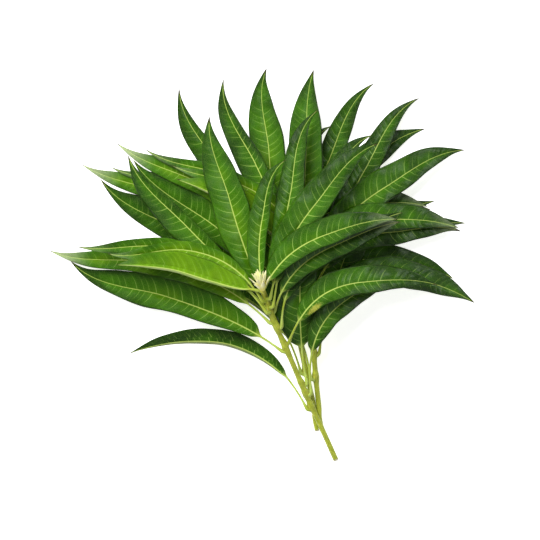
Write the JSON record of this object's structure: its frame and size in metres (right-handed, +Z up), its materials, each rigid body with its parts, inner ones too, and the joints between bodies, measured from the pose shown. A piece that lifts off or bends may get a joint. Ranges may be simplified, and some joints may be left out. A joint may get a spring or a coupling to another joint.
{
  "type": "cut mango leaf branch",
  "caption": "Cut mango branch lying flat: leafy shoots forking from one cut foot, each with a whorl of long glossy green leaves round a pale bud.",
  "frame": {"origin": "on the surface the branch lies on, under the middle of its bounding box", "axes": "+Z up from that surface; the leaves fan out towards +Y and the cut foot points to -Y; +X is the branch's widest direction"},
  "size_m": [0.4258, 0.3928, 0.0871],
  "materials": {
    "dark_leaf": "deep green glossy leaf with pale green midrib and veins",
    "light_leaf": "mid green glossy leaf with pale green midrib and veins",
    "bright_leaf": "yellow-green satin leaf with pale midrib and veins",
    "stem": "satin yellow-green stem bark",
    "bud": "pale cream bud scales"
  },
  "bodies": {
    "root": {"back_bowed_leaf": "dark_leaf", "back_dark_leaf": "dark_leaf", "back_long_leaf": "light_leaf", "back_tucked_leaf": "dark_leaf", "back_drooping_leaf": "dark_leaf", "back_shaded_leaf": "dark_leaf", "back_rear_leaf": "dark_leaf", "back_slanting_leaf": "dark_leaf", "back_broad_leaf": "dark_leaf", "back_outer_leaf": "light_leaf", "back_upright_leaf": "light_leaf", "back_slender_leaf": "light_leaf", "back_arching_leaf": "dark_leaf", "back_bright_leaf": "bright_leaf", "back_inner_leaf": "light_leaf", "back_stem": "stem", "back_bud": "bud", "middle_lower_leaf": "dark_leaf", "middle_bowed_leaf": "dark_leaf", "middle_dark_leaf": "dark_leaf", "middle_long_leaf": "light_leaf", "middle_tucked_leaf": "dark_leaf", "middle_drooping_leaf": "dark_leaf", "middle_shaded_leaf": "dark_leaf", "middle_rear_leaf": "dark_leaf", "middle_slanting_leaf": "dark_leaf", "middle_broad_leaf": "dark_leaf", "middle_outer_leaf": "light_leaf", "middle_upright_leaf": "light_leaf", "middle_slender_leaf": "light_leaf", "middle_arching_leaf": "dark_leaf", "middle_bright_leaf": "bright_leaf", "middle_inner_leaf": "light_leaf", "middle_stem": "stem", "middle_bud": "bud", "front_lower_leaf": "dark_leaf", "front_lowest_leaf": "dark_leaf", "front_bowed_leaf": "dark_leaf", "front_dark_leaf": "dark_leaf", "front_long_leaf": "light_leaf", "front_tucked_leaf": "dark_leaf", "front_drooping_leaf": "dark_leaf", "front_shaded_leaf": "dark_leaf", "front_rear_leaf": "dark_leaf", "front_slanting_leaf": "dark_leaf", "front_broad_leaf": "dark_leaf", "front_outer_leaf": "light_leaf", "front_upright_leaf": "light_leaf", "front_slender_leaf": "light_leaf", "front_arching_leaf": "dark_leaf", "front_bright_leaf": "bright_leaf", "front_inner_leaf": "light_leaf", "front_stem": "stem", "front_bud": "bud", "snag": "stem"}
  },
  "joints": []
}
